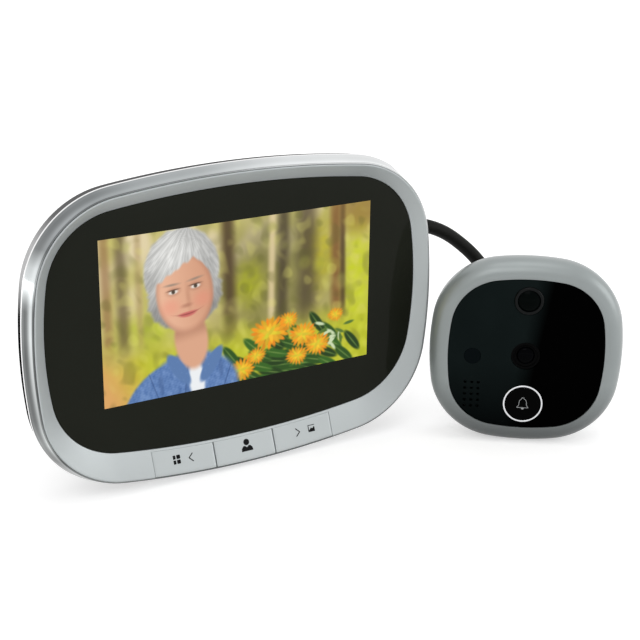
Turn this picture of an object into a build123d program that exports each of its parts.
from build123d import *
import os
from collections import namedtuple
from math import cos, hypot, pi, radians, sin, sqrt, tan

# Peephole door camera: an indoor monitor that hangs on a door plate, and an outdoor
# camera unit on its cable.
# Frame: +Z up, the monitor faces -Y, +X to the right as seen from in front of it.
# Origin: the middle of the door plate's back, which lies against the door at y = 0.
# A depth is a distance from the door towards the viewer, along -Y.

Outline = namedtuple("Outline", "half_width half_height top_radius side_radius corner_radius")

# Small gap between pieces that are fixed to each other
fit = 0.1

# Display module: the glass and the rim take their sizes from its picture
active_width = 95.04
active_tall = 53.86
lcd_side_border = 4.23
lcd_top_border = 3.02
lcd_low_border = 8.52
lcd_thickness = 2.9
lcd_width = active_width + 2 * lcd_side_border
lcd_tall = active_tall + lcd_top_border + lcd_low_border
gasket_thickness = 0.5
gasket_margin = 0.5
frame_margin = 2.2
frame_depth = 2.4

# Monitor, seen from the front: rectangles with four bulged sides and round corners
glass_side_border = 17.98
glass_top_border = 11.32
glass_low_border = 18.62
glass_top_radius = 328.0
glass_side_radius = 118.0
glass_corner_radius = 24.0
glass_outline = Outline(
    active_width / 2 + glass_side_border,
    (active_tall + glass_top_border + glass_low_border) / 2,
    glass_top_radius,
    glass_side_radius,
    glass_corner_radius,
)
ring_side_width = 6.5
ring_top_width = 6.95
ring_low_width = 10.95  # the ring is wider under the glass, where the keys are
rim_top_radius = 332.0
rim_side_radius = 160.0
rim_corner_radius = 32.0
rim_outline = Outline(
    glass_outline.half_width + ring_side_width,
    glass_outline.half_height + (ring_top_width + ring_low_width) / 2,
    rim_top_radius,
    rim_side_radius,
    rim_corner_radius,
)
glass_height = (ring_low_width - ring_top_width) / 2
active_height = glass_height + (glass_low_border - glass_top_border) / 2
lcd_height = active_height + (lcd_top_border - lcd_low_border) / 2

# Monitor depths, from the front back to the main board
crest = 21.0
dish_depth = 3.2
glass_thickness = 1.5
ledge_thickness = 1.3
board_gap = 0.7
board_thickness = 1.0
glass_front = crest - dish_depth
glass_back = glass_front - glass_thickness
ledge_rear = glass_back - ledge_thickness
lcd_front = glass_back - gasket_thickness
lcd_rear = lcd_front - lcd_thickness
board_front = lcd_rear - board_gap
board_rear = board_front - board_thickness
boss_rear = board_front + fit

# Chromed rim: how far its faces lie inside the outline
rim_rear = 11.0
rim_edge = 15.6
rim_bore = 2.2
rim_rear_inset = 0.8
rim_front_inset = 1.8
rim_front_step = 0.2  # its front lip lies this far behind the crest

# Bezel: its walls and its ledge for the glass
bezel_rear = 14.2
side_wall = 2.0
crest_land = 0.4
ledge_width = 2.5
glass_wall = 1.2
ring_wall = 1.6
bezel_outline = Outline(*(value - rim_bore - fit for value in rim_outline))
bezel_cavity = Outline(*(value - side_wall for value in bezel_outline))

# Keys in the ring under the glass
key_names = ("left_key", "centre_key", "right_key")
key_pitch = 21.8
key_gap = 0.35
key_lip = 0.8
key_travel = 0.5
key_flange = 0.8
key_flange_reach = 1.6
key_clearance = 0.3

# What stands on the main board
board_inset = 5.0
switch_length = 4.2
switch_width = 3.2
switch_body = 0.7
switch_stem_radius = 1.0
switch_gap = 0.05
shield_width = 24.0
shield_tall = 12.0
shield_corner = 1.0
shield_thickness = 1.4
shield_place = (0.0, 32.0)

# Back cover
cover_back = 3.5
cover_wall = 1.6
cover_back_inset = 7.5
cover_edge_inset = 1.4
cover_neck_step = 0.2
cover_neck_top = bezel_rear - cover_neck_step
cover_cavity_inset = 9.5

# Battery lid and bay, on the left as seen from the front
side_land = 12.5  # from the rim's side to the lid's end and to the screws
lid_thickness = 1.4
lid_left = rim_outline.half_width - side_land
lid_right = 5.6
lid_tall = 42.0
lid_seat_side = 2.4
lid_seat_end = 1.4
lid_screw_land = 6.3
lid_gap = 0.25
lid_corner = 1.0
bay_left = lid_left - lid_seat_side
bay_right = lid_right + lid_screw_land
bay_tall = lid_tall - 2 * lid_seat_end
bay_floor = 0.6
bay_wall = 1.2
battery_play = 0.3
battery_corner = 1.5
lid_screw_inset = 3.0
lid_screw_radius = 1.0
lid_screw_head = 1.9
lid_screw_length = 5.0

# Cable, its plug and the socket on the board
cable_diameter = 4.8
cable_depth = 5.8
bend_share = 0.45  # part of a run that the bend at its end takes up
gland_run = 8.5
channel_height = 18.5
socket_left = 20.0
socket_length = 9.0
socket_width = 8.4
socket_wall = 0.6
plug_length = 9.0
plug_width = 7.0
plug_thickness = 3.0
plug_corner = 0.4
boot_length = 7.0
boot_size = 5.2
boot_corner = 2.0

# Well for the plug, and the channel that leads the cable out to the right
well_left = -3.0
well_side_land = 26.0
well_right = rim_outline.half_width - well_side_land
well_low = -14.0
well_top = channel_height + socket_width / 2 - fit
well_wall = 1.2
well_gap = 0.5
well_depth = board_rear - well_gap - well_wall - cover_back
channel_play = 0.8
channel_width = cable_diameter + 2 * channel_play
channel_spare = 0.5
channel_depth = cable_depth + cable_diameter / 2 + channel_spare - cover_back

# Door plate and its hooks
monitor_lift = 8.0
plate_thickness = 1.2
plate_corner = 7.0
cable_hole_radius = 8.0
plate_slot_spacing = 32.0
plate_slot_length = 8.0
plate_slot_width = 4.4
hook_x = 32.0
hook_width = 8.0
hook_lip = 6.0
hook_play = 0.3
hook_side_land = 6.0
hook_top_land = 5.5
hook_low_land = 7.0
hook_clear = 0.8
slot_play = 0.5
hook_tops = (
    well_top + well_wall + plate_thickness + monitor_lift + slot_play,
    -(lid_tall / 2 + bay_wall + hook_lip + hook_clear),
)
plate_width = 2 * (hook_x + hook_width / 2 + hook_side_land)
plate_top = hook_tops[0] + hook_top_land
plate_low = hook_tops[1] - hook_low_land

# Ports on their own small board, behind the keys
port_board_left = -26.0
port_board_right = 20.0
port_board_inset = 7.85
port_board_tall = 15.0
port_board_gap = 0.2
port_board_low = port_board_inset - rim_outline.half_height
port_board_top = port_board_low + port_board_tall
header_length = 12.0
header_width = 2.5
usb_x = 13.0
usb_width = 7.5
usb_length = 5.6
usb_thickness = 2.7
usb_inset = 6.45
usb_mouth = usb_inset - rim_outline.half_height
usb_corner = 0.8
usb_wall = 0.35
port_board_rear = cover_back + cover_wall + port_board_gap + usb_thickness
card_x = -2.0
card_socket_width = 14.4
card_socket_length = 14.6
card_socket_thickness = 1.9
card_inset = 9.05
card_mouth = card_inset - rim_outline.half_height
card_end_wall = 1.0
card_slot_width = 11.6
card_slot_thickness = 1.3
power_x = -18.0
power_inset = 12.05
power_height = power_inset - rim_outline.half_height
power_body_length = 8.0
power_body_width = 3.4
power_body_thickness = 2.6
knob_length = 3.0
knob_width = 1.8
knob_travel = 2.0
knob_recess = 0.3
port_gap = 0.3

# Speaker in the back cover
speaker_side_land = 17.5
speaker_height = -12.0
speaker_place = (rim_outline.half_width - speaker_side_land, speaker_height)
speaker_radius = 6.5
speaker_thickness = 3.4
speaker_hole_radius = 0.7
speaker_hole_pitch = 3.2
speaker_holes_round = 6

# Back cover screws
screw_end_land = 23.85
screw_x = rim_outline.half_width - side_land
screw_z = rim_outline.half_height - screw_end_land
screw_places = [(screw_x, screw_z), (-screw_x, screw_z), (screw_x, -screw_z), (-screw_x, -screw_z)]
screw_radius = 1.0
screw_head_radius = 1.9
screw_head_thickness = 1.5
screw_head_depth = 5.0
screw_post_radius = 2.5
screw_length = 9.0
screw_hole_spare = 0.3
screw_end = screw_head_depth + screw_head_thickness + screw_length

# Outdoor unit: a rounded pebble with a black window, facing 36 degrees left of the monitor
unit_side_offset = 26.28
unit_depth_offset = 38.67
unit_height = -18.35
unit_azimuth = 36.0
unit_half_width = 32.2
unit_half_height = 32.5
unit_side_radius = 84.0
unit_corner_radius = 24.0
unit_outline = Outline(unit_half_width, unit_half_height, unit_side_radius, unit_side_radius,
                       unit_corner_radius)
window_side_border = 6.3
window_top_border = 6.1
window_side_radius = 75.0
window_corner_radius = 17.0
window_outline = Outline(unit_half_width - window_side_border, unit_half_height - window_top_border,
                         window_side_radius, window_side_radius, window_corner_radius)
unit_foam = 1.0
unit_wide_depth = 9.0  # where the pebble is widest
unit_depth = 14.5
unit_back_inset = 3.6
unit_front_inset = 5.2
unit_steps = 5  # sections of the pebble on each side of its widest one
window_thickness = 2.0
window_recess = 0.15
unit_wall_inset = 5.2
unit_ledge = 1.6
unit_ledge_thickness = 1.4

# Outdoor unit, openings in the window (across, up from its middle)
lens_place = (0.0, -0.6)
lens_hole_radius = 4.9
pir_top_land = 7.4  # from the window's top to the sensor's middle
pir_place = (0.0, window_outline.half_height - pir_top_land)
pir_hole_radius = 4.9
pir_dome_radius = 3.6
pir_dome_height = 1.1
infrared_side_land = 8.2
infrared_place = (infrared_side_land - window_outline.half_width, -1.2)
infrared_radius = 2.8
grille_side_land = 8.4
grille_low_land = 11.4
grille_place = (grille_side_land - window_outline.half_width, grille_low_land - window_outline.half_height)
grille_pitch = (2.2, 2.15)
grille_columns = 3
grille_rows = 5
grille_hole_radius = 0.5
button_low_land = 8.7  # from the window's lower edge to the button's middle
button_place = (0.0, button_low_land - window_outline.half_height)
button_ring_radius = 6.65
button_ring_width = 0.7
button_play = 0.12
button_flange = 0.7
button_flange_reach = 0.9
button_flange_gap = 0.3
button_travel = 0.8
button_plunger_radius = 1.5
button_plunger = 0.5

# Outdoor unit, inside
rear_plate_thickness = 2.0
insert_spacing = 32.0
insert_radius = 2.8
insert_hole_radius = 1.65
insert_length = 5.0
insert_boss_radius = 4.2
insert_boss_end = 0.8
unit_board_gap = 0.8
unit_board_rear = unit_foam + insert_length + insert_boss_end + unit_board_gap
unit_board_thickness = 1.0
unit_board_inset = 1.2
unit_post_radius = 2.0
unit_post_x = (10.0, 19.0)
unit_post_top = unit_half_height - 15.5
unit_post_low = 20.5 - unit_half_height
unit_post_places = [(unit_post_x[0], unit_post_top), (-unit_post_x[0], unit_post_top),
                    (unit_post_x[1], unit_post_low), (-unit_post_x[1], unit_post_low)]
spigot_radius = 6.75
spigot_length = 7.0
spigot_bore = 4.5
seal_boss_radius = 8.2  # a low round boss that centres the seal at the spigot's root
gland_nose = 3.0
gland_nose_radius = 3.2
gland_flange_radius = 6.0
gland_flange = 1.2
unit_screw_x = 12.0
unit_screw_end_land = 8.1
unit_screw_z = unit_half_height - unit_screw_end_land
unit_screw_places = [(unit_screw_x, unit_screw_z), (-unit_screw_x, unit_screw_z),
                     (unit_screw_x, -unit_screw_z), (-unit_screw_x, -unit_screw_z)]
unit_screw_boss = 2.3
unit_screw_radius = 0.9
unit_screw_head = 1.6
unit_screw_head_thickness = 0.9
unit_screw_length = 7.0
lens_holder_size = 10.0
lens_holder_height = 2.6
lens_glass_radius = 3.0
lens_glass_rise = 0.9
pir_can_radius = 3.2
pir_can_height = 3.2
sounder_offset = (1.7, 1.4)  # from the grille's middle
sounder_place = (grille_place[0] + sounder_offset[0], grille_place[1] + sounder_offset[1])
sounder_radius = 4.0
sounder_thickness = 2.4
bell_switch_size = 6.0
bell_switch_body = 0.9
bell_switch_stem_radius = 1.7

door = Plane.XZ
unit_back = (rim_outline.half_width + unit_side_offset, -unit_depth_offset, unit_height)
unit = Plane(unit_back, x_dir=Vector(1, 0, 0).rotate(Axis.Z, -unit_azimuth),
             z_dir=Vector(0, -1, 0).rotate(Axis.Z, -unit_azimuth))


def inset(outline, by):
    """The parallel outline that lies `by` inside the given one."""
    return Outline(*(value - by for value in outline))


def grow(outline, by):
    """The parallel outline that lies `by` outside the given one."""
    return inset(outline, -by)


def barrel_corner(outline):
    """Where the top arc and the right side's arc meet, before the corner is rounded."""
    top_centre = outline.half_height - outline.top_radius
    side_centre = outline.half_width - outline.side_radius
    apart = hypot(side_centre, top_centre)
    along = (outline.top_radius**2 - outline.side_radius**2 + apart**2) / (2 * apart)
    across = sqrt(outline.top_radius**2 - along**2)
    x = (side_centre * along - top_centre * across) / apart
    z = top_centre - (top_centre * along + side_centre * across) / apart
    return x, z


def barrel(plane, outline, height=0.0):
    """Sketches a rectangle with four bulged sides and round corners."""
    x, z = barrel_corner(outline)
    with BuildSketch(plane) as profile:
        with BuildLine():
            ThreePointArc((-x, height + z), (0, height + outline.half_height), (x, height + z))
            ThreePointArc((x, height + z), (outline.half_width, height), (x, height - z))
            ThreePointArc((x, height - z), (0, height - outline.half_height), (-x, height - z))
            ThreePointArc((-x, height - z), (-outline.half_width, height), (-x, height + z))
        make_face()
        fillet(profile.vertices(), outline.corner_radius)
    return profile.sketch


def block(plane, start, end, left, right, low, top, mode=Mode.ADD):
    """A box between two distances along the plane's normal, given by its four sides."""
    with BuildSketch(plane.offset(start)) as profile:
        with Locations(((left + right) / 2, (low + top) / 2)):
            Rectangle(right - left, top - low)
    extrude(profile.sketch, amount=end - start, mode=mode)


def round_bar(plane, start, end, place, radius, mode=Mode.ADD):
    """A cylinder between two distances along the plane's normal."""
    with BuildSketch(plane.offset(start)) as profile:
        with Locations(place):
            Circle(radius)
    extrude(profile.sketch, amount=end - start, mode=mode)


def cut_dish():
    """Cuts the ring's dished front: it rises from the glass's edge to the crest."""
    loft([
        barrel(door.offset(glass_front), glass_outline, glass_height),
        barrel(door.offset(crest), inset(rim_outline, rim_bore + fit + crest_land)),
    ], ruled=True, mode=Mode.SUBTRACT)


def ring_stretch(start, end, outer, inner, left, right):
    """The stretch of the ring under the glass between two outlines and two sides."""
    with BuildPart() as stretch:
        extrude(barrel(door.offset(start), outer), amount=end - start)
        extrude(barrel(door.offset(start), inner, glass_height), amount=end - start, mode=Mode.SUBTRACT)
        block(door, start, end, left, right, -outer.half_height, glass_height - inner.half_height / 2,
              Mode.INTERSECT)
    return stretch.part


def domed_disc(plane, start, shoulder, place, radius, rise):
    """A disc whose front is a shallow dome: an arc turned about the disc's middle."""
    centre = plane.from_local_coords(Vector(place[0], place[1], 0))
    with BuildPart() as disc:
        with BuildSketch(Plane(centre, x_dir=plane.x_dir, z_dir=-plane.y_dir)):
            with BuildLine():
                Polyline((0, shoulder + rise), (0, start), (radius, start), (radius, shoulder))
                sphere_radius = (radius**2 + rise**2) / (2 * rise)
                RadiusArc((radius, shoulder), (0, shoulder + rise), -sphere_radius)
            make_face()
        revolve(axis=Axis(centre, plane.z_dir))
    return disc


pieces = []


def keep(builder, label):
    """Names a finished piece and puts it on the list of files to write."""
    builder.part.label = label
    pieces.append(builder.part)


# Door plate: pressed steel, with four hooks bent out of it, a hole for the cable and two
# screw slots
with BuildPart() as door_plate:
    with BuildSketch(door):
        with Locations((0, (plate_top + plate_low) / 2)):
            RectangleRounded(plate_width, plate_top - plate_low, plate_corner)
        Circle(cable_hole_radius, mode=Mode.SUBTRACT)
        with Locations((plate_slot_spacing / 2, 0), (-plate_slot_spacing / 2, 0)):
            SlotOverall(plate_slot_length, plate_slot_width, mode=Mode.SUBTRACT)
    extrude(amount=plate_thickness)
    hook_reach = cover_back + cover_wall + hook_play + plate_thickness
    for side in (-hook_x, hook_x):
        for hook_top in hook_tops:
            with BuildSketch(Plane.YZ.offset(side - hook_width / 2)):
                with BuildLine():
                    Polyline(
                        (0, hook_top - plate_thickness),
                        (-hook_reach, hook_top - plate_thickness),
                        (-hook_reach, hook_top + hook_lip),
                        (-hook_reach + plate_thickness, hook_top + hook_lip),
                        (-hook_reach + plate_thickness, hook_top),
                        (0, hook_top),
                        close=True,
                    )
                make_face()
            extrude(amount=hook_width)
keep(door_plate, "door_plate")

# Chromed rim: a wide front facet and a narrower rear facet that meet at a crisp edge
with BuildPart() as chrome_rim:
    loft([
        barrel(door.offset(rim_rear), inset(rim_outline, rim_rear_inset)),
        barrel(door.offset(rim_edge), rim_outline),
        barrel(door.offset(crest - rim_front_step), inset(rim_outline, rim_front_inset)),
    ], ruled=True)
    extrude(barrel(door.offset(rim_rear), inset(rim_outline, rim_bore)),
            amount=crest - rim_rear, mode=Mode.SUBTRACT)
keep(chrome_rim, "chrome_rim")

# Bezel: the dished silver ring round the glass, with a ledge that carries the glass
key_half_span = len(key_names) * key_pitch / 2
key_outer = inset(rim_outline, rim_bore + key_gap)
key_inner = grow(glass_outline, key_lip)

with BuildPart() as ring_pocket:
    extrude(barrel(door.offset(bezel_rear), bezel_cavity), amount=glass_front - ring_wall - bezel_rear)
    extrude(barrel(door.offset(ledge_rear), grow(glass_outline, glass_wall), glass_height),
            amount=glass_back - ledge_rear, mode=Mode.SUBTRACT)

with BuildPart() as bezel:
    extrude(barrel(door.offset(bezel_rear), bezel_outline), amount=crest - bezel_rear)
    add(ring_pocket.part, mode=Mode.SUBTRACT)
    extrude(barrel(door.offset(ledge_rear), inset(glass_outline, ledge_width), glass_height),
            amount=ledge_thickness, mode=Mode.SUBTRACT)
    extrude(barrel(door.offset(glass_back), grow(glass_outline, fit), glass_height),
            amount=crest - glass_back, mode=Mode.SUBTRACT)
    cut_dish()
    block(door, ledge_rear, glass_back, -lcd_width / 2 - fit, lcd_width / 2 + fit,
          lcd_height - lcd_tall / 2 - fit, lcd_height + lcd_tall / 2 + fit, Mode.SUBTRACT)
    add(ring_stretch(bezel_rear, crest, rim_outline, key_inner, -key_half_span, key_half_span),
        mode=Mode.SUBTRACT)
    for place in screw_places:
        round_bar(door, boss_rear, ledge_rear, place, screw_post_radius)
        round_bar(door, boss_rear, screw_end + screw_hole_spare, place, screw_radius + fit / 2,
                  Mode.SUBTRACT)
keep(bezel, "bezel")

# Front glass
with BuildPart() as front_glass:
    extrude(barrel(door.offset(glass_back), glass_outline, glass_height), amount=glass_thickness)
keep(front_glass, "front_glass")

# Display module, its foam frame against the glass, and the moulded frame that holds it
with BuildPart() as lcd_panel:
    with BuildSketch(door.offset(lcd_rear)):
        with Locations((0, lcd_height)):
            Rectangle(lcd_width, lcd_tall)
    extrude(amount=lcd_thickness)
keep(lcd_panel, "lcd_panel")

with BuildPart() as lcd_gasket:
    with BuildSketch(door.offset(lcd_front)):
        with Locations((0, lcd_height)):
            Rectangle(lcd_width - 2 * fit, lcd_tall - 2 * fit)
        with Locations((0, active_height)):
            Rectangle(active_width + 2 * gasket_margin, active_tall + 2 * gasket_margin,
                      mode=Mode.SUBTRACT)
    extrude(amount=gasket_thickness)
keep(lcd_gasket, "lcd_gasket")

with BuildPart() as lcd_frame:
    with BuildSketch(door.offset(ledge_rear - fit - frame_depth)):
        with Locations((0, lcd_height)):
            RectangleRounded(lcd_width + 2 * frame_margin, lcd_tall + 2 * frame_margin, frame_margin)
            Rectangle(lcd_width + 2 * fit, lcd_tall + 2 * fit, mode=Mode.SUBTRACT)
    extrude(amount=frame_depth)
keep(lcd_frame, "lcd_frame")

# Keys: each fills its stretch of the ring, with a flange behind the bezel's ledge
key_front_start = cover_neck_top + key_travel + key_clearance
key_rear = key_front_start - key_flange
key_flange_outer = inset(bezel_cavity, key_clearance)
key_flange_inner = inset(key_inner, key_flange_reach)
for number, key_name in enumerate(key_names):
    key_left = number * key_pitch - key_half_span + key_gap / 2
    key_right = key_left + key_pitch - key_gap
    with BuildPart() as key:
        add(ring_stretch(key_front_start, crest, key_outer, grow(key_inner, key_gap),
                         key_left, key_right))
        cut_dish()
        add(ring_stretch(key_rear, key_front_start, key_flange_outer, key_flange_inner,
                         key_left, key_right))
    keep(key, key_name)

# Main board, with the keys' switches, the processor's shield and the camera socket
key_top = glass_height - key_inner.half_height
switch_height = (key_top - key_flange_outer.half_height) / 2
with BuildPart() as main_board:
    extrude(barrel(door.offset(board_rear), inset(rim_outline, board_inset)), amount=board_thickness)
    for place in screw_places:
        round_bar(door, board_rear, board_front, place, screw_post_radius + 2 * fit, Mode.SUBTRACT)
keep(main_board, "main_board")

with BuildPart() as key_switches:
    switch_top = key_rear - key_travel - switch_gap
    for number in range(len(key_names)):
        switch_x = (number + 0.5) * key_pitch - key_half_span
        block(door, board_front, board_front + switch_body, switch_x - switch_length / 2,
              switch_x + switch_length / 2, switch_height - switch_width / 2,
              switch_height + switch_width / 2)
        round_bar(door, board_front + switch_body, switch_top, (switch_x, switch_height),
                  switch_stem_radius)
keep(key_switches, "key_switches")

with BuildPart() as shield_can:
    with BuildSketch(door.offset(board_rear)):
        with Locations(shield_place):
            RectangleRounded(shield_width, shield_tall, shield_corner)
    extrude(amount=-shield_thickness)
keep(shield_can, "shield_can")

pocket_back = cable_depth - plug_thickness / 2 - fit / 2
with BuildPart() as camera_socket:
    block(door, pocket_back - socket_wall, board_rear, socket_left, socket_left + socket_length,
          channel_height - socket_width / 2, channel_height + socket_width / 2)
    block(door, pocket_back, cable_depth + plug_thickness / 2 + fit / 2,
          socket_left + socket_length / 2, socket_left + socket_length,
          channel_height - plug_width / 2 - fit / 2, channel_height + plug_width / 2 + fit / 2,
          Mode.SUBTRACT)
keep(camera_socket, "camera_socket")

# Back cover: a dished shell with a battery bay, the plug's well and the cable's channel
bay_bottom = board_rear - 3 * fit - bay_floor
lid_screw_out = lid_right + lid_screw_inset
lid_seat = cover_back + lid_thickness
with BuildPart() as cover_cavity:
    loft([
        barrel(door.offset(cover_back + cover_wall), inset(rim_outline, cover_cavity_inset)),
        barrel(door.offset(rim_rear - fit), bezel_cavity),
    ], ruled=True)
    extrude(barrel(door.offset(rim_rear - fit), bezel_cavity), amount=cover_neck_top - rim_rear + fit)
    block(door, cover_back, bay_bottom + bay_floor, -lid_left - bay_wall, -lid_right + bay_wall / 2,
          -lid_tall / 2 - bay_wall, lid_tall / 2 + bay_wall, Mode.SUBTRACT)
    block(door, cover_back, cover_back + well_depth + well_wall, well_left - well_wall,
          well_right + well_wall, well_low - well_wall, well_top + well_wall, Mode.SUBTRACT)
    block(door, cover_back, cover_back + channel_depth + well_wall, well_right, rim_outline.half_width,
          channel_height - channel_width / 2 - well_wall, channel_height + channel_width / 2 + well_wall,
          Mode.SUBTRACT)
    for place in screw_places:
        round_bar(door, cover_back, board_rear, place, screw_post_radius, Mode.SUBTRACT)

with BuildPart() as back_cover:
    loft([
        barrel(door.offset(cover_back), inset(rim_outline, cover_back_inset)),
        barrel(door.offset(rim_rear - fit), inset(rim_outline, cover_edge_inset)),
    ], ruled=True)
    extrude(barrel(door.offset(rim_rear - fit), bezel_outline), amount=cover_neck_top - rim_rear + fit)
    add(cover_cavity.part, mode=Mode.SUBTRACT)
    # battery bay with its lid's seat
    block(door, cover_back, lid_seat, -lid_left, -lid_right, -lid_tall / 2, lid_tall / 2, Mode.SUBTRACT)
    block(door, lid_seat, bay_bottom, -bay_left, -bay_right,
          -bay_tall / 2, bay_tall / 2, Mode.SUBTRACT)
    round_bar(door, lid_seat, bay_bottom, (-lid_screw_out, 0), lid_screw_radius + fit / 2, Mode.SUBTRACT)
    # well and channel
    block(door, cover_back, cover_back + well_depth, well_left, well_right, well_low, well_top,
          Mode.SUBTRACT)
    block(door, cover_back, cover_back + well_depth + well_wall, socket_left - fit,
          socket_left + socket_length + fit, channel_height - socket_width / 2 - fit,
          channel_height + socket_width / 2 + fit, Mode.SUBTRACT)
    block(door, cover_back, cover_back + channel_depth, well_right, rim_outline.half_width,
          channel_height - channel_width / 2, channel_height + channel_width / 2, Mode.SUBTRACT)
    # slots for the door plate's hooks
    for side in (-hook_x, hook_x):
        for hook_top in hook_tops:
            block(door, cover_back, cover_back + cover_wall, side - hook_width / 2 - slot_play,
                  side + hook_width / 2 + slot_play,
                  hook_top - plate_thickness - monitor_lift - slot_play, hook_top + fit, Mode.SUBTRACT)
    # screw holes, with a seat for each head
    for place in screw_places:
        round_bar(door, cover_back, board_rear, place, screw_radius + fit, Mode.SUBTRACT)
        round_bar(door, cover_back, screw_head_depth + screw_head_thickness, place,
                  screw_head_radius + fit, Mode.SUBTRACT)
    # charging port, card slot and power switch
    block(door, port_board_rear - usb_thickness - port_gap, port_board_rear + port_gap,
          usb_x - usb_width / 2 - port_gap, usb_x + usb_width / 2 + port_gap,
          -rim_outline.half_height, usb_mouth + usb_length, Mode.SUBTRACT)
    card_middle = port_board_rear - card_socket_thickness / 2
    block(door, card_middle - card_slot_thickness / 2, card_middle + card_slot_thickness / 2,
          card_x - card_slot_width / 2, card_x + card_slot_width / 2, -rim_outline.half_height,
          card_mouth, Mode.SUBTRACT)
    block(door, cover_back, cover_back + cover_wall, power_x - knob_length / 2 - port_gap,
          power_x + knob_length / 2 + knob_travel + port_gap, power_height - knob_width / 2 - port_gap,
          power_height + knob_width / 2 + port_gap, Mode.SUBTRACT)
    # speaker grille: one hole with six round it
    with BuildSketch(door.offset(cover_back)):
        with Locations(speaker_place):
            Circle(speaker_hole_radius)
            with PolarLocations(speaker_hole_pitch, speaker_holes_round):
                Circle(speaker_hole_radius)
    extrude(amount=cover_wall, mode=Mode.SUBTRACT)
keep(back_cover, "back_cover")

with BuildPart() as back_cover_screws:
    for place in screw_places:
        round_bar(door, screw_head_depth, screw_head_depth + screw_head_thickness, place,
                  screw_head_radius)
        round_bar(door, screw_head_depth + screw_head_thickness, screw_end, place, screw_radius)
keep(back_cover_screws, "back_cover_screws")

# Battery and its lid
with BuildPart() as battery:
    block(door, lid_seat + battery_play, bay_bottom - battery_play,
          -bay_left + battery_play, -bay_right - battery_play,
          -bay_tall / 2 + battery_play, bay_tall / 2 - battery_play)
    fillet(battery.edges().filter_by(Axis.Y), battery_corner)
keep(battery, "battery")

with BuildPart() as battery_lid:
    block(door, cover_back, lid_seat, -lid_left + lid_gap, -lid_right - lid_gap,
          -lid_tall / 2 + lid_gap, lid_tall / 2 - lid_gap)
    fillet(battery_lid.edges().filter_by(Axis.Y), lid_corner)
    round_bar(door, cover_back, lid_seat, (-lid_screw_out, 0), lid_screw_radius + fit, Mode.SUBTRACT)
    round_bar(door, cover_back, cover_back + lid_thickness / 2, (-lid_screw_out, 0), lid_screw_head + fit,
              Mode.SUBTRACT)
keep(battery_lid, "battery_lid")

with BuildPart() as battery_lid_screw:
    round_bar(door, cover_back, cover_back + lid_thickness / 2, (-lid_screw_out, 0), lid_screw_head)
    round_bar(door, cover_back, cover_back + lid_screw_length, (-lid_screw_out, 0), lid_screw_radius)
keep(battery_lid_screw, "battery_lid_screw")

# Port board with the charging socket, the card socket and the power switch
with BuildPart() as port_board:
    block(door, port_board_rear, port_board_rear + board_thickness, port_board_left, port_board_right,
          port_board_low, port_board_top)
    block(door, port_board_rear + board_thickness, board_rear, -header_length / 2, header_length / 2,
          port_board_top - 2 * header_width, port_board_top - header_width)
keep(port_board, "port_board")

with BuildPart() as usb_socket:
    block(door, port_board_rear - usb_thickness, port_board_rear, usb_x - usb_width / 2,
          usb_x + usb_width / 2, usb_mouth, usb_mouth + usb_length)
    fillet(usb_socket.edges().filter_by(Axis.Z).group_by(Axis.Y)[-1], usb_corner)
    block(door, port_board_rear - usb_thickness + usb_wall, port_board_rear - usb_wall,
          usb_x - usb_width / 2 + usb_wall, usb_x + usb_width / 2 - usb_wall, usb_mouth,
          usb_mouth + usb_length - 2 * usb_wall, Mode.SUBTRACT)
keep(usb_socket, "usb_socket")

with BuildPart() as card_socket:
    block(door, port_board_rear - card_socket_thickness, port_board_rear,
          card_x - card_socket_width / 2, card_x + card_socket_width / 2, card_mouth,
          card_mouth + card_socket_length)
    block(door, card_middle - card_slot_thickness / 2, card_middle + card_slot_thickness / 2,
          card_x - card_slot_width / 2, card_x + card_slot_width / 2, card_mouth,
          card_mouth + card_socket_length - card_end_wall, Mode.SUBTRACT)
keep(card_socket, "card_socket")

with BuildPart() as power_switch_body:
    block(door, port_board_rear - power_body_thickness, port_board_rear,
          power_x + knob_travel / 2 - power_body_length / 2,
          power_x + knob_travel / 2 + power_body_length / 2, power_height - power_body_width / 2,
          power_height + power_body_width / 2)
keep(power_switch_body, "power_switch_body")

with BuildPart() as power_switch_knob:
    block(door, cover_back + knob_recess, port_board_rear - power_body_thickness - fit,
          power_x - knob_length / 2, power_x + knob_length / 2, power_height - knob_width / 2,
          power_height + knob_width / 2)
keep(power_switch_knob, "power_switch_knob")

# Speaker
with BuildPart() as speaker:
    round_bar(door, cover_back + cover_wall + fit, cover_back + cover_wall + fit + speaker_thickness,
              speaker_place, speaker_radius)
keep(speaker, "speaker")

# Plug in the socket, with the boot that the cable comes out of
plug_start = socket_left + socket_length / 2 + fit
plug_end = plug_start + plug_length
cable_start = plug_end + boot_length
with BuildPart() as cable_plug:
    block(door, cable_depth - plug_thickness / 2, cable_depth + plug_thickness / 2, plug_start,
          plug_end, channel_height - plug_width / 2, channel_height + plug_width / 2)
    with BuildSketch(Plane.YZ.offset(plug_end)):
        with Locations((-cable_depth, channel_height)):
            RectangleRounded(plug_thickness, plug_thickness, plug_corner)
    with BuildSketch(Plane.YZ.offset(cable_start)):
        with Locations((-cable_depth, channel_height)):
            RectangleRounded(boot_size, boot_size, boot_corner)
    loft(ruled=True)
keep(cable_plug, "cable_plug")

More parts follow.
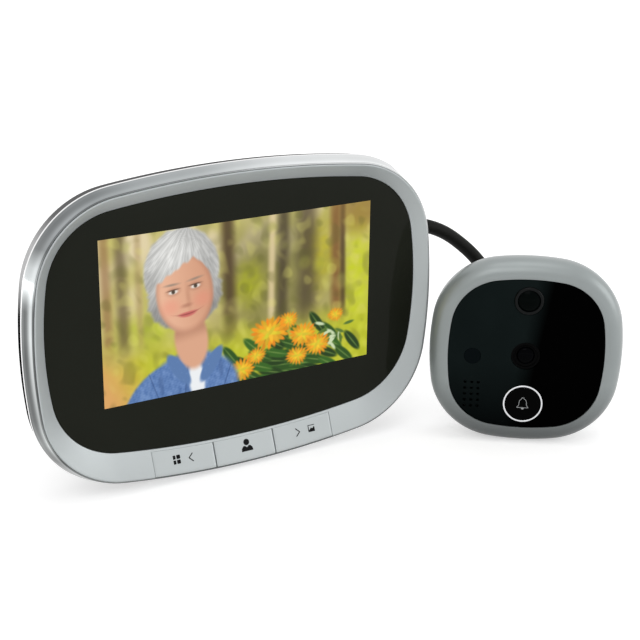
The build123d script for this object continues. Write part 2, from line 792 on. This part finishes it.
# Outdoor unit's housing: a smooth pebble, open at the front for the window
window_front = unit_depth - window_recess
window_rear = window_front - window_thickness
unit_inner = inset(unit_outline, unit_wall_inset)
unit_sections = []
for number in range(-unit_steps, unit_steps + 1):
    turn = number / unit_steps * pi / 2
    if number < 0:
        reach, by = unit_wide_depth - unit_foam, unit_back_inset
    else:
        reach, by = unit_depth - unit_wide_depth, unit_front_inset
    unit_sections.append((unit_wide_depth + reach * sin(turn), by * (1 - cos(turn))))
with BuildPart() as camera_housing:
    loft([barrel(unit.offset(depth), inset(unit_outline, by)) for depth, by in unit_sections],
         ruled=True)
    extrude(barrel(unit.offset(window_rear - fit), grow(window_outline, fit)),
            amount=unit_depth, mode=Mode.SUBTRACT)
    extrude(barrel(unit.offset(unit_foam), inset(window_outline, unit_ledge)),
            amount=unit_depth, mode=Mode.SUBTRACT)
    ledge_start = window_rear - fit - unit_ledge_thickness
    extrude(barrel(unit.offset(unit_foam), unit_inner), amount=ledge_start - unit_foam, mode=Mode.SUBTRACT)
    boss_start = unit_foam + rear_plate_thickness
    for place in unit_screw_places:
        round_bar(unit, boss_start, ledge_start, place, unit_screw_boss)
        round_bar(unit, boss_start, boss_start + unit_screw_length, place,
                  unit_screw_radius + fit / 2, Mode.SUBTRACT)
keep(camera_housing, "camera_housing")

# Window with its round openings and the grille over the microphone and sounder
with BuildPart() as camera_window:
    extrude(barrel(unit.offset(window_rear), window_outline), amount=window_thickness)
    for place, radius in ((lens_place, lens_hole_radius), (pir_place, pir_hole_radius),
                          (infrared_place, infrared_radius), (button_place, button_ring_radius + fit / 2)):
        round_bar(unit, window_rear, window_front, place, radius, Mode.SUBTRACT)
    with BuildSketch(unit.offset(window_rear)):
        with Locations(grille_place):
            with GridLocations(*grille_pitch, grille_columns, grille_rows):
                Circle(grille_hole_radius)
    extrude(amount=window_thickness, mode=Mode.SUBTRACT)
keep(camera_window, "camera_window")

# Rear plate with the spigot that enters the door's bore, and bosses for the two inserts
plate_front = unit_foam + rear_plate_thickness
insert_places = [(insert_spacing / 2, 0), (-insert_spacing / 2, 0)]
insert_front = unit_foam + insert_length
with BuildPart() as rear_plate:
    extrude(barrel(unit.offset(unit_foam), inset(unit_inner, fit)), amount=rear_plate_thickness)
    round_bar(unit, 0, unit_foam, (0, 0), seal_boss_radius)
    round_bar(unit, -spigot_length, 0, (0, 0), spigot_radius)
    for place in insert_places:
        round_bar(unit, plate_front, insert_front + insert_boss_end, place, insert_boss_radius)
        round_bar(unit, unit_foam, insert_front, place, insert_radius + fit / 2, Mode.SUBTRACT)
    for place in unit_post_places:
        round_bar(unit, plate_front, unit_board_rear, place, unit_post_radius)
    for place in unit_screw_places:
        round_bar(unit, unit_foam, plate_front, place, unit_screw_radius + fit, Mode.SUBTRACT)
        round_bar(unit, unit_foam, unit_foam + unit_screw_head_thickness, place, unit_screw_head + fit,
                  Mode.SUBTRACT)
    round_bar(unit, -spigot_length, plate_front, (0, 0), spigot_bore + fit / 2, Mode.SUBTRACT)
keep(rear_plate, "rear_plate")

with BuildPart() as threaded_inserts:
    for place in insert_places:
        round_bar(unit, unit_foam, insert_front, place, insert_radius)
        round_bar(unit, unit_foam, insert_front, place, insert_hole_radius, Mode.SUBTRACT)
keep(threaded_inserts, "threaded_inserts")

with BuildPart() as unit_screws:
    for place in unit_screw_places:
        round_bar(unit, unit_foam, unit_foam + unit_screw_head_thickness, place, unit_screw_head)
        round_bar(unit, unit_foam + unit_screw_head_thickness, unit_foam + unit_screw_length, place,
                  unit_screw_radius)
keep(unit_screws, "unit_screws")

# Foam seal between the outdoor unit and the door
with BuildPart() as door_seal:
    extrude(barrel(unit, inset(unit_outline, unit_back_inset)), amount=unit_foam)
    for place in insert_places:
        round_bar(unit, 0, unit_foam, place, insert_radius + fit, Mode.SUBTRACT)
    round_bar(unit, 0, unit_foam, (0, 0), seal_boss_radius + fit, Mode.SUBTRACT)
keep(door_seal, "door_seal")

# Cable gland: a rubber sleeve in the spigot, with a flange inside and a short nose outside
gland_end = -spigot_length - gland_nose
with BuildPart() as cable_gland:
    with BuildSketch(Plane(unit.origin, x_dir=unit.x_dir, z_dir=-unit.y_dir)):
        with BuildLine():
            Polyline(
                (0, plate_front + gland_flange),
                (gland_flange_radius, plate_front + gland_flange),
                (gland_flange_radius, plate_front),
                (spigot_bore, plate_front),
                (spigot_bore, -spigot_length),
                (gland_nose_radius, gland_end),
                (0, gland_end),
                close=True,
            )
        make_face()
    revolve(axis=Axis(unit.origin, unit.z_dir))
keep(cable_gland, "cable_gland")

# Outdoor unit's board, lens, sensors, sounder and doorbell switch
unit_board_front = unit_board_rear + unit_board_thickness
with BuildPart() as camera_board:
    extrude(barrel(unit.offset(unit_board_rear), inset(unit_inner, unit_board_inset)),
            amount=unit_board_thickness)
    for place in unit_screw_places:
        round_bar(unit, unit_board_rear, unit_board_front, place, unit_screw_boss + 2 * fit,
                  Mode.SUBTRACT)
keep(camera_board, "camera_board")

holder_front = unit_board_front + lens_holder_height
barrel_front = window_front - lens_glass_rise
with BuildPart() as lens_barrel:
    block(unit, unit_board_front, holder_front, lens_place[0] - lens_holder_size / 2,
          lens_place[0] + lens_holder_size / 2, lens_place[1] - lens_holder_size / 2,
          lens_place[1] + lens_holder_size / 2)
    round_bar(unit, holder_front, barrel_front, lens_place, lens_hole_radius - fit)
    round_bar(unit, barrel_front - lens_glass_rise, barrel_front, lens_place,
              lens_glass_radius + fit / 2, Mode.SUBTRACT)
keep(lens_barrel, "lens_barrel")

lens_glass = domed_disc(unit, barrel_front - lens_glass_rise, barrel_front, lens_place,
                        lens_glass_radius, lens_glass_rise - fit)
keep(lens_glass, "lens_glass")

with BuildPart() as motion_sensor:
    round_bar(unit, unit_board_front, unit_board_front + pir_can_height, pir_place, pir_can_radius)
keep(motion_sensor, "motion_sensor")

motion_dome = domed_disc(unit, window_rear, window_front, pir_place, pir_dome_radius, pir_dome_height)
keep(motion_dome, "motion_dome")

with BuildPart() as motion_ring:
    with BuildSketch(unit.offset(window_rear)):
        with Locations(pir_place):
            Circle(pir_hole_radius - fit / 2)
            Circle(pir_dome_radius + fit / 2, mode=Mode.SUBTRACT)
    extrude(amount=window_thickness + 2 * window_recess)
keep(motion_ring, "motion_ring")

with BuildPart() as infrared_window:
    round_bar(unit, window_rear, window_front, infrared_place, infrared_radius - fit / 2)
keep(infrared_window, "infrared_window")

with BuildPart() as door_sounder:
    round_bar(unit, window_rear - fit - sounder_thickness, window_rear - fit, sounder_place,
              sounder_radius)
keep(door_sounder, "door_sounder")

# Doorbell: a bright ring fixed in the window, the button inside it and its switch
with BuildPart() as doorbell_ring:
    with BuildSketch(unit.offset(window_rear)):
        with Locations(button_place):
            Circle(button_ring_radius)
            Circle(button_ring_radius - button_ring_width, mode=Mode.SUBTRACT)
    extrude(amount=window_thickness + window_recess)
keep(doorbell_ring, "doorbell_ring")

button_radius = button_ring_radius - button_ring_width - button_play
button_flange_front = window_rear - button_flange_gap
button_flange_rear = button_flange_front - button_flange
with BuildPart() as doorbell_button:
    round_bar(unit, button_flange_front, window_front, button_place, button_radius)
    round_bar(unit, button_flange_rear, button_flange_front, button_place,
              button_radius + button_flange_reach)
    round_bar(unit, button_flange_rear - button_plunger, button_flange_rear, button_place,
              button_plunger_radius)
keep(doorbell_button, "doorbell_button")

with BuildPart() as doorbell_switch:
    block(unit, unit_board_front, unit_board_front + bell_switch_body,
          button_place[0] - bell_switch_size / 2, button_place[0] + bell_switch_size / 2,
          button_place[1] - bell_switch_size / 2, button_place[1] + bell_switch_size / 2)
    round_bar(unit, unit_board_front + bell_switch_body,
              button_flange_rear - button_plunger - button_travel - fit, button_place,
              bell_switch_stem_radius)
keep(doorbell_switch, "doorbell_switch")

# Cable from the plug, through the channel, round behind the outdoor unit and into its gland.
# It leaves both ends straight, and each bend takes most of the shorter run beside it.
rim_side = rim_outline.half_width
cable_route = [
    Vector(cable_start, -cable_depth, channel_height),
    Vector(rim_side - 16.0, -cable_depth, channel_height),
    Vector(rim_side - 1.5, -5.8, 18.9),
    Vector(rim_side + 12.5, -5.6, 14.6),
    Vector(rim_side + 24.5, -5.2, 5.6),
    Vector(rim_side + 31.5, -4.8, -1.6),
    Vector(rim_side + 37.2, -8.2, -9.6),
    Vector(rim_side + 39.5, -16.8, -15.6),
    unit.from_local_coords(Vector(0, 0, gland_end - gland_run)),
    unit.from_local_coords(Vector(0, 0, gland_end)),
]
cable_runs = [end - start for start, end in zip(cable_route, cable_route[1:])]
cable_radii = []
for before, after in zip(cable_runs, cable_runs[1:]):
    half_turn = radians(before.get_angle(after)) / 2
    cable_radii.append(bend_share * min(before.length, after.length) / tan(half_turn))
print("cable bend radii, mm:", [round(radius, 1) for radius in cable_radii])

with BuildPart() as camera_cable:
    with BuildLine() as cable_path:
        FilletPolyline(*cable_route, radius=cable_radii)
    with BuildSketch(Plane(cable_route[0], z_dir=cable_runs[0])):
        Circle(cable_diameter / 2)
    sweep()
cable_length = sum(edge.length for edge in cable_path.edges())
print("cable length, mm:", round(cable_length, 1))
print("cable volume over section times length:",
      round(camera_cable.part.volume / (pi * (cable_diameter / 2)**2 * cable_length), 4))
keep(camera_cable, "camera_cable")

os.makedirs("parts", exist_ok=True)
for piece in pieces:
    export_step(piece, f"parts/{piece.label}.step")
